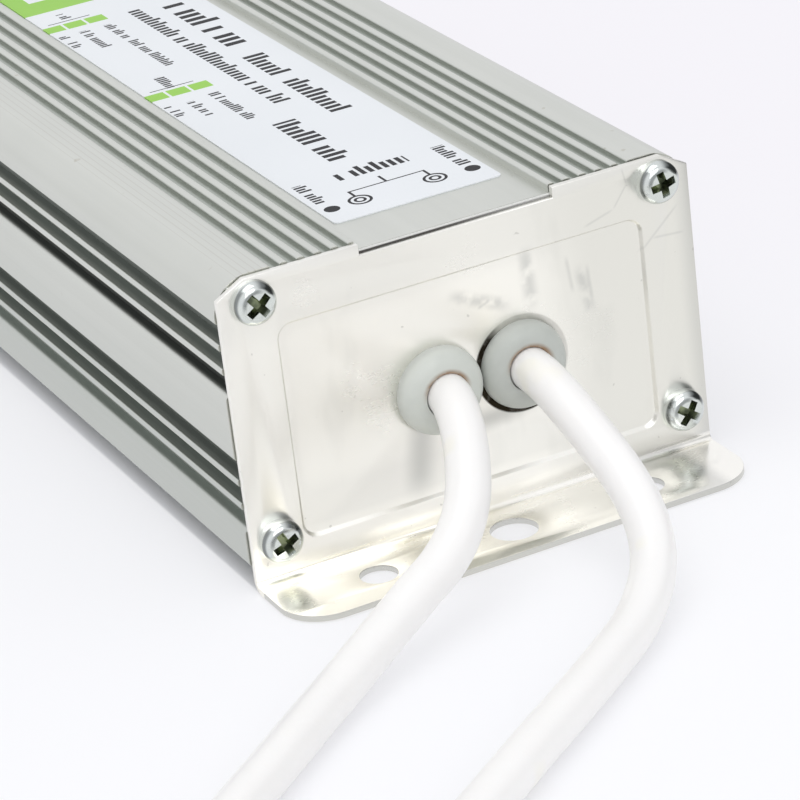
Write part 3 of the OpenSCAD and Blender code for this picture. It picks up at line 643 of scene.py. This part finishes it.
plate_scratches = [
    (33.0, 36.6, 26.3, 30.9, 0.32), (28.5, 32.7, 33.5, 32.3, 0.3), (24.9, 43.6, 25.4, 41.4, 0.25),
    (25.4, 41.4, 23.1, 38.4, 0.25), (23.1, 38.4, 18.4, 37.1, 0.3), (15.6, 33.5, 16.2, 28.2, 0.5),
    (2.0, 30.0, 3.6, 30.6, 0.35), (18.6, 31.5, 19.0, 26.0, 0.5),
]
plate_smudges = [(9.6, 36.0, 9.9, 28.5, 1.7), (-1.5, 32.6, 6.0, 29.4, 1.5), (17.4, 31.0, 18.6, 25.0, 1.3)]
# painted shade and painted reflection of the leads below the grommets, as strokes
plate_shades = [(-1.0, 13.6, 8.0, 14.6, 2.4), (-8.2, 15.5, -9.4, 8.0, 3.2)]


def plated_finish():
    material, shader, place, (x, y, z) = start_finish("plated_sheet", Metallic=1.0)
    cloud = noise(place, 0.07, 3)
    smear = noise(place, 0.16, 3, stretch=(1, 1, 0.35))
    grain = noise(place, 1.6, 2, stretch=(0.3, 1, 1))
    pit = step_up(noise(place, 0.8, 1), 0.765, 0.80)
    near_end = step_up(-1 * y, near_y, near_y + 5)
    upright = (z > fold_z) * near_end
    rim = distance(x, z, right_x, exit_z)
    around = x.math("ARCTAN2", z - exit_z, x - right_x)
    # a brown stain round the right grommet's hole, with painted shadow of the gap darker on its lower left
    gap_shadow_side = arc(around, rim_turn, 1.25, 0.5) * 0.75 + 0.25
    ring = (1 - step_up(abs(rim - rim_r), 0.3, 0.62)) * near_end
    grime = ring * gap_shadow_side * (0.75 + noise(place, 0.9, 3) * 0.5)
    scratch = strokes(x, z, plate_scratches) * upright
    patchy = step_up(noise(place, 0.5, 2), 0.25, 0.6)
    smudge = strokes(x, z, plate_smudges) * upright * patchy
    shade = strokes(x, z, plate_shades) * upright
    # painted light and shade: a lit tone of the plating on the left of the panel, below the top, low down
    # and on the flange, and shaded tones elsewhere, darker to the right
    inside = (1 - step_up(abs(x), 24, 29)) * step_up(z, 8, 15) * (1 - step_up(z, 33, 38))
    left_part = 1 - step_up(x, 4, 20)
    low_part = 1 - step_up(z, 5.5, 8.5)
    flat = 1 - step_up(z, fold_z - 0.8, fold_z + 0.4)
    lit_plating = blend(cloud, (0.995, 0.98, 0.925), (0.985, 0.97, 0.92))
    shaded_plating = blend(cloud, (0.90, 0.887, 0.84), (0.86, 0.852, 0.81))
    deeper_shaded_plating = blend(step_up(x, 6, 20), shaded_plating, (0.805, 0.797, 0.75))
    below_top = (1 - step_up(z, 33, 38)) * 0.45
    lit_part = together([left_part * together([inside, below_top, low_part]), flat])
    bright = blend(lit_part, deeper_shaded_plating, lit_plating)
    # grey smears, and the painted shade below the grommets
    smeared_and_shaded = blend(step_up(smear, 0.56, 0.76) * 0.14 + shade * 0.62, bright, (0.52, 0.525, 0.50))
    # a darker band on the flange's right part
    flange_dark_band = step_up(x, 17, 24) * (1 - step_up(x, 28.5, 31)) * flat * near_end
    warm = (1 - step_up(x, -12, 12)) * flat * near_end
    flanged = blend(warm * 0.9, smeared_and_shaded, (0.98, 0.955, 0.86))
    # painted shade at the plate's rounded right edge
    right_edge_shade = step_up(x, 31.6, 34.6) * upright
    # painted shade on the sheet's cut edges at the flange front
    facing = place.node("ShaderNodeNewGeometry", {}, out="Normal")
    level = abs(split(facing)[2])
    cut_edge_shade = (1 - step_up(level, 0.25, 0.7)) * (z < sheet_t / MM) * (abs(y) > -plate_face / MM + 2)
    # marks and painted shade together: scratches, smudges, the flange band and the painted edge shade
    marks = scratch * 0.3 + smudge * 0.5 + flange_dark_band * 0.4 + right_edge_shade * 0.4 + cut_edge_shade * 0.75
    marked_and_shaded = blend(marks.math("MINIMUM", marks, 0.8), flanged, (0.50, 0.505, 0.49))
    pitted = blend(pit * 0.35, marked_and_shaded, (0.40, 0.39, 0.36))
    # the brown stain and the painted gap shadow round the right grommet
    feed(shader, "Base Color", blend(grime.math("MINIMUM", grime, 1.0), pitted, (0.030, 0.024, 0.015)))
    clean = 0.20 + upright * 0.02 + cloud * 0.12 + grain * 0.03
    feed(shader, "Roughness", clean + scratch * 0.06 + grime * 0.3)
    feed_bump(shader, cloud * 0.4 - pit * 0.1 - scratch * 0.05, 0.06, 0.4)
    return material


plated_sheet = plated_finish()
for plate in plates:
    dress(plate, plated_sheet)
print("finish", plated_sheet.name)

# %% [markdown]
# ## Zinc screws
# The screws are glossier than the sheet, with a dark greenish recess, and dark arcs on the rim and round
# the recess that are painted reflection and shade. The distance from the screw's axis, together with the
# depth below the head, finds the recess, and the angle about the axis places the painted arcs.

# %% Screw finish
head_top = (-plate_face + head_h + head_crown) / MM


def screw_finish():
    material, shader, place, (x, y, z) = start_finish("bright_zinc", Metallic=1.0)
    upper = z > (top_screw_z + low_screw_z) / 2
    across = x - ((x > 0) * 2 - 1) * (low_screw_x + upper * (top_screw_x - low_screw_x))
    rise = z - (low_screw_z + upper * (top_screw_z - low_screw_z))
    radius = distance(across, rise, 0, 0)
    around = x.math("ARCTAN2", rise, across)
    depth = head_top - abs(y)
    recess = step_up(depth, 0.3, 0.8) * (1 - step_up(radius, 2.15, 2.35))
    turned = noise(place, 2.2, 3, stretch=(1, 0.4, 1))
    stain = noise(place, 0.55, 3)
    # painted reflection and shade: dark arcs on the rim and round the recess
    painted_dark_arcs = together([
        arc(around, 0.85, 0.3, 0.45) * step_up(radius, 2.1, 2.4) * 0.85,
        arc(around, 2.95, 0.5, 0.6) * step_up(radius, 2.6, 2.85) * (1 - step_up(depth, 1.2, 1.5)) * 0.7,
        arc(around, 2.2, 0.6, 0.7) * (1 - step_up(abs(radius - 1.95), 0.1, 0.42)) * 0.6,
    ])
    metal = blend(stain, (0.72, 0.755, 0.745), (0.62, 0.655, 0.63))
    arc_shaded = blend(painted_dark_arcs, metal, (0.075, 0.085, 0.085))
    dark = blend(step_up(stain, 0.4, 0.6), (0.06, 0.075, 0.035), (0.27, 0.31, 0.18))
    feed(shader, "Base Color", blend(recess * 0.94, arc_shaded, dark))
    feed(shader, "Roughness", 0.10 + turned * 0.10 + recess * 0.25)
    feed_bump(shader, turned, 0.03, 0.4)
    return material


bright_zinc = screw_finish()
dress(screws, bright_zinc)
dress(nodes["spreader_screws"], bright_zinc)
print("finish", bright_zinc.name)

# %% [markdown]
# ## Silicone grommets
# The grommets are grey silicone, a little see-through, so light gets into them: a small subsurface weight
# stands for that. Where the lead rubs, near the bore, there is a brown line. The left grommet is painted a
# darker grey, as shade, and both are painted darker at the foot, where shade falls against the plate.

# %% Grommet finish
def grommet_finish():
    material, shader, place, (x, y, z) = start_finish(
        "grey_silicone", Subsurface_Weight=0.25, Subsurface_Radius=(0.8, 0.8, 0.75), Subsurface_Scale=0.002,
        IOR=1.42,
    )
    left_radius = distance(x, z, left_x, exit_z)
    right_radius = distance(x, z, right_x, exit_z)
    radius = left_radius.math("MINIMUM", left_radius, right_radius)
    cloud = noise(place, 0.4, 3)
    dust = noise(place, 2.5, 3)
    near_bore = 1 - step_up(radius, 3.15, 3.9)
    upper = step_up(z, exit_z - 0.5, exit_z + 2.5)
    grime = near_bore * upper * step_up(cloud, 0.2, 0.55)
    # painted shade at the foot, where the grommet meets the plate
    foot_shade = step_up(radius, 5.9, 6.4)
    pale = blend(cloud, (0.565, 0.59, 0.55), (0.64, 0.66, 0.62))
    shaded_grey = blend(cloud, (0.455, 0.475, 0.445), (0.54, 0.56, 0.525))
    # painted shade: the left grommet gets the darker copy of the grey
    rubber = blend(right_radius < left_radius, pale, shaded_grey)
    foot_shaded = blend(foot_shade * 0.3, rubber, (0.34, 0.35, 0.32))
    feed(shader, "Base Color", blend(grime * 0.9, foot_shaded, (0.25, 0.13, 0.05)))
    feed(shader, "Roughness", 0.30 + dust * 0.14)
    feed_bump(shader, cloud * 0.6 + dust * 0.4, 0.05, 0.4)
    return material


grey_silicone = grommet_finish()
for ring in grommets:
    dress(ring, grey_silicone)
print("finish", grey_silicone.name)

# %% [markdown]
# ## White vinyl sheath
# The leads are soft white vinyl with a wide gloss. Under the gloss the surface is slightly uneven, and it
# has a few faint yellow marks from handling.

# %% Sheath finish
def sheath_finish():
    material, shader, place, _ = start_finish(
        "white_vinyl", Subsurface_Weight=0.12, Subsurface_Radius=(1, 0.95, 0.9), Subsurface_Scale=0.0015,
        Coat_Weight=0.25, Coat_Roughness=0.22,
    )
    cloud = noise(place, 0.12, 3)
    ripple = noise(place, 0.9, 3)
    mark = step_up(noise(place, 0.09, 2), 0.63, 0.72)
    white = blend(cloud, (0.895, 0.883, 0.87), (0.86, 0.848, 0.835))
    feed(shader, "Base Color", blend(mark * 0.3, white, (0.89, 0.86, 0.70)))
    feed(shader, "Roughness", 0.30 + ripple * 0.12)
    feed_bump(shader, ripple, 0.05, 0.35)
    return material


white_vinyl = sheath_finish()
for lead in leads.values():
    dress(lead, white_vinyl)
print("finish", white_vinyl.name)

# %% [markdown]
# ## The label's print
# The label is a white film with rows of small type, green cells, a green field and a sketch of the two
# outputs. Type is drawn as short dashes in groups, so that it reads as print and says nothing. All of it is
# worked out on the film's own plane: X across, and V along, counted from the plate's face.

# %% Marks on a plane
def block(x, v, x_mid, v_from, v_to, width):
    """A filled rectangle."""
    across = abs(x - x_mid) - width / 2
    along = abs(v - (v_from + v_to) / 2) - abs(v_to - v_from) / 2
    return across.math("MAXIMUM", across, along) < 0


def dash_row(across, along, middle, start, end, height, seed, pitch=None):
    """A row of upright dashes in groups, as type looks from far away."""
    pitch = pitch or height * 0.46
    count = (along - start) / pitch + seed * 100
    cell = count.math("FLOOR", count)
    inside = count - cell
    first = cell.node("ShaderNodeTexWhiteNoise", {"W": cell}, noise_dimensions="1D")
    other = cell.node("ShaderNodeTexWhiteNoise", {"W": cell + 0.5}, noise_dimensions="1D")
    rise = (across - middle) / height
    tall = rise < 0.22 + 0.28 * (other > 0.62)
    return block(across, along, middle, start, end, height) * (first > 0.17) * (inside > 0.36) * tall


def ring_mark(x, v, x0, v0, radius, line):
    return abs(distance(x, v, x0, v0) - radius) < line / 2


def dot_mark(x, v, x0, v0, radius):
    return distance(x, v, x0, v0) < radius


# %% Output sketch at the near end
def output_sketch(x, v):
    """Two terminals joined by a bracket, a word beside them and a tag at each side."""
    left, right = -6.2, 5.1
    terminal_v = 16.0
    line = 0.4
    ring_line = 0.42
    marks = [
        block(x, v, (left + right) / 2, 19.4, 19.7, right - left + line),
        block(x, v, -0.5, 19.6, 22.0, line),
        dash_row(v, x, 25.8, left - 0.6, right + 0.3, 3.5, 7, 1.15),
    ]
    for terminal in (left, right):
        marks.append(block(x, v, terminal, 17.4, 19.6, line))
        marks.append(ring_mark(x, v, terminal, terminal_v, 1.5, ring_line))
        marks.append(ring_mark(x, v, terminal, terminal_v, 0.68, ring_line))
    for side, seed in ((-10.6, 3), (10.6, 5)):
        marks.append(dot_mark(x, v, side, 15.6, 1.12))
        marks.append(dash_row(x, v, side, 17.4, 26.4, 1.9, seed, 0.85))
    return together(marks)


# %% Rows of type along the label: middle X, start and end V, height, seed
type_rows = [
    (8.2, 83.0, 110.5, 4.6, 11), (7.2, 48.4, 79.8, 3.4, 12), (2.2, 55.3, 113.0, 2.7, 13),
    (-3.8, 83.0, 109.2, 1.7, 14), (-7.9, 99.4, 109.2, 1.7, 15), (-11.4, 102.4, 109.0, 1.6, 16),
    (-4.1, 54.8, 68.9, 1.7, 17), (-8.0, 60.5, 67.9, 1.7, 18), (-11.5, 62.3, 68.2, 1.6, 19),
    (-1.4, 31.0, 50.5, 3.6, 20), (-7.6, 75.2, 81.0, 1.7, 21), (-7.6, 115.0, 119.5, 1.7, 22),
]
cell_rows = [73.2, 113.2]
cell_w, cell_l, cell_pitch = 3.1, 2.9, 3.5
cell_first_x = -11.2
cell_line = (2.4, 2.65)
field_start = 122.0
field_windows = [(-6.0, 128.0, 138.0, 7.0), (5.5, 128.0, 158.0, 6.0)]


def label_finish():
    material, shader, place, (x, y, z) = start_finish("printed_film", Specular_IOR_Level=0.2)
    v = y - plate_face / MM
    lines = [
        block(x, v, cell_first_x + cell_pitch, row + cell_line[0], row + cell_line[1], 2 * cell_pitch)
        for row in cell_rows
    ]
    black = together([dash_row(x, v, *row) for row in type_rows] + [output_sketch(x, v)] + lines)
    cells = together([
        block(x, v, cell_first_x + i * cell_pitch, row - cell_l / 2, row + cell_l / 2, cell_w)
        for row in cell_rows for i in range(3)
    ])
    field = v > field_start
    window = together([block(x, v, *place_and_size) for place_and_size in field_windows])
    tint = noise(place, 0.05, 2)
    paper = blend(tint, (0.73, 0.755, 0.78), (0.79, 0.81, 0.835))
    green = blend(tint, (0.25, 0.53, 0.05), (0.31, 0.60, 0.08))
    coloured = blend(together([cells, field * (1 - window)]), paper, green)
    feed(shader, "Base Color", blend(black, coloured, (0.012, 0.012, 0.014)))
    feed(shader, "Roughness", 0.30 + tint * 0.1 + black * 0.12)
    feed_bump(shader, tint + noise(place, 0.8, 2) * 0.4, 0.12, 0.25)
    return material


printed_film = label_finish()
dress(nodes["channel_label"], printed_film)
print("finish", printed_film.name, len(printed_film.node_tree.nodes), "nodes")

# %% [markdown]
# ## Everything inside, and the seals
# The board and its parts cannot be seen while the driver is closed, but each still has its own finish. The
# record names a slot and a colour for every node, so one function makes a finish from those: a colour that
# drifts a little, a grain in the gloss and a shallow bump.

# %% Inner finishes: roughness, metallic and scale of the grain
slot_look = {
    "board_laminate": (0.32, 0.0, 0.6), "resin": (0.45, 0.0, 0.15), "black_moulding": (0.50, 0.0, 3.0),
    "blue_coating": (0.18, 0.0, 0.3), "yellow_wrap": (0.35, 0.0, 0.5), "can_sleeve": (0.22, 0.0, 0.4),
    "ferrite": (0.62, 0.0, 2.2), "core_paint": (0.40, 0.0, 1.2), "copper_wire": (0.26, 1.0, 1.4),
    "spreader_aluminium": (0.36, 1.0, 0.9), "pad_silicone": (0.60, 0.0, 1.0),
    "brown_insulation": (0.34, 0.0, 0.6), "blue_insulation": (0.34, 0.0, 0.6),
    "tinned_copper": (0.28, 1.0, 1.8),
}
colour_drift = 0.18
slot_colour = {entry["slot"]: entry["base_color"] for entry in frame["record"]["materials"]}
node_slot = {entry["node"]: entry["material_slot"] for entry in frame["record"]["subparts"]}


def slot_finish(slot):
    roughness, metallic, grain_scale = slot_look[slot]
    material, shader, place, _ = start_finish(slot, Metallic=metallic)
    drift = noise(place, grain_scale * 0.2, 3)
    grain = noise(place, grain_scale, 4)
    darker = [c * (1 - colour_drift) for c in slot_colour[slot]]
    lighter = [min(1, c * (1 + colour_drift)) for c in slot_colour[slot]]
    feed(shader, "Base Color", blend(drift, darker, lighter))
    feed(shader, "Roughness", roughness - 0.08 + grain * 0.16)
    feed_bump(shader, grain, 0.05, 0.4)
    return material


slot_finishes = {slot: slot_finish(slot) for slot in slot_look}
for name, slot in node_slot.items():
    if slot in slot_finishes:
        dress(nodes[name], slot_finishes[slot])
print("inner finishes", len(slot_finishes))

# %% Seals
notch_half = 15.0
gap_shade_z = roof_z - 1.48


def seal_finish():
    """Pale silicone, with painted shade of the gap where the plate's notch leaves it bare, lighter to the
    right.
    """
    material, shader, place, (x, y, z) = start_finish("gasket_rubber")
    grain = noise(place, 1.6, 4)
    # painted shade of the gap between plate and housing, in the notch
    bare = (abs(x) < notch_half) * (z > roof_z - 3) * (1 - step_up(z, gap_shade_z - 0.05, gap_shade_z + 0.05))
    gap_shade = bare * (0.94 - step_up(x, -4, 12) * 0.4)
    silicone = blend(grain, (0.66, 0.665, 0.65), (0.76, 0.765, 0.75))
    feed(shader, "Base Color", blend(gap_shade, silicone, (0.035, 0.03, 0.026)))
    feed(shader, "Roughness", 0.62 + grain * 0.16)
    feed_bump(shader, grain, 0.05, 0.4)
    return material


seal_silicone = seal_finish()
for end in ("output", "input"):
    dress(nodes[f"{end}_gasket"], seal_silicone)
print("finish", seal_silicone.name)

# %% [markdown]
# ## Where the leads start
# The leads are the only soft pieces; on their ends are bare cores with tinned tips, which are nodes of the
# frame. For each lead, the point where it leaves its grommet is taken from its route.

# %% Cords
for side, lead in leads.items():
    start = route_points({"left": left_route, "right": right_route}[side])[1]

# %% [markdown]
# ## Table, backdrop and light
# The picture is a bright studio shot: a white table, soft light from above and a shadow only where things
# touch. The backdrop and the open table glow in part for camera and mirror rays alone, so they look white
# without throwing more light on the driver. In a strip under the housing the glow is left out, which paints
# a sharp edge on its shadow. Mirror rays that run to the right find a dark wall there, which gives screws
# and rounded edges their contrast.

# %% World
backdrop = (0.95, 0.952, 0.975)
world_level = 0.78
front_sky_gain = 0.05


def ray(wire, kind):
    """1 for rays that the camera, a gloss or a glass sends out."""
    return wire.node("ShaderNodeLightPath", {}, out=f"Is {kind} Ray")


world = bpy.data.worlds.new("studio")
bpy.context.scene.world = world
world.use_nodes = True
background = world.node_tree.nodes["Background"]
sky = Wire(world.node_tree, background.inputs["Color"])
seen = together([ray(sky, kind) for kind in ("Camera", "Glossy", "Transmission")])
direction = Wire(world.node_tree, world.node_tree.nodes.new("ShaderNodeTexCoord").outputs["Generated"])
toward_right, toward_back, height = split(direction)
dark_side = step_up(toward_right, 0.62, 0.86) * (1 - step_up(height, 0.35, 0.6)) * ray(sky, "Glossy")
bright = blend(seen, (0.97, 0.98, 1.0), backdrop)
feed(background, "Color", blend(dark_side * 0.9, bright, (0.05, 0.055, 0.05)))
front_sky = step_up(-1 * toward_back, 0.45, 0.75) * step_up(height, 0.1, 0.3) * ray(sky, "Glossy")
feed(background, "Strength", world_level + seen * (1 - world_level) + front_sky * front_sky_gain)

# %% Table
table_size = 0.66
table_place = (0.02, -0.07, -0.0002)
table_glow = 0.55
mirror_glow = 0.88
front_y = 100.0
front_fade = 12.0
under_x = 34.45
under_soft = 0.25
under_y = 96.0


def table_finish():
    material, shader, place, (x, y, z) = start_finish("white_table", Roughness=0.9)
    cloud = noise(place, 0.004, 2)
    feed(shader, "Base Color", blend(cloud, (0.90, 0.90, 0.93), (0.93, 0.93, 0.95)))
    out = material.node_tree.nodes["Material Output"]
    tint = blend(step_up(x + y * 0.3, -20, 110), backdrop, (0.915, 0.885, 0.935))
    glow = place.node("ShaderNodeEmission", {"Color": tint, "Strength": 1.0})
    lit = Wire(material.node_tree, shader.outputs[0])
    # painted shadow edge: the glow is left out in a strip under the housing, so the table's own shading
    # shows there
    under = (1 - step_up(abs(x), under_x - under_soft, under_x + under_soft)) * (abs(y) < under_y)
    share = (ray(place, "Camera") * table_glow + ray(place, "Glossy") * mirror_glow) * (1 - under)
    both = place.node("ShaderNodeMixShader", {0: share, 1: lit, 2: glow})
    front_share = step_up(-1 * y, front_y, front_y + front_fade) * ray(place, "Glossy")
    front_glow = place.node("ShaderNodeEmission", {"Color": (1, 1, 1, 1), "Strength": 1.0})
    both = place.node("ShaderNodeMixShader", {0: front_share, 1: both, 2: front_glow})
    material.node_tree.links.new(both.socket, out.inputs["Surface"])
    return material


clear_selection()
bpy.ops.mesh.primitive_plane_add(size=table_size, location=table_place)
table = bpy.context.object
bpy.ops.object.transform_apply(location=True, rotation=False, scale=False)
table.name = "table"
dress(table, table_finish())


# %% Lamps
def soft_lamp(name, place, aim, size, power):
    bpy.ops.object.light_add(type="AREA", location=place)
    lamp = bpy.context.object
    lamp.name = name
    lamp.data.size = size
    lamp.data.energy = power
    lamp.rotation_euler = (Vector(aim) - Vector(place)).to_track_quat("-Z", "Y").to_euler()


soft_lamp("overhead", (-0.25, -0.15, 1.3), (0, -0.06, 0), 1.1, 5.0)
soft_lamp("front", (-0.1, -1.3, 0.8), (0, -0.1, 0.02), 0.9, 4.0)
print("lamps and table in place")
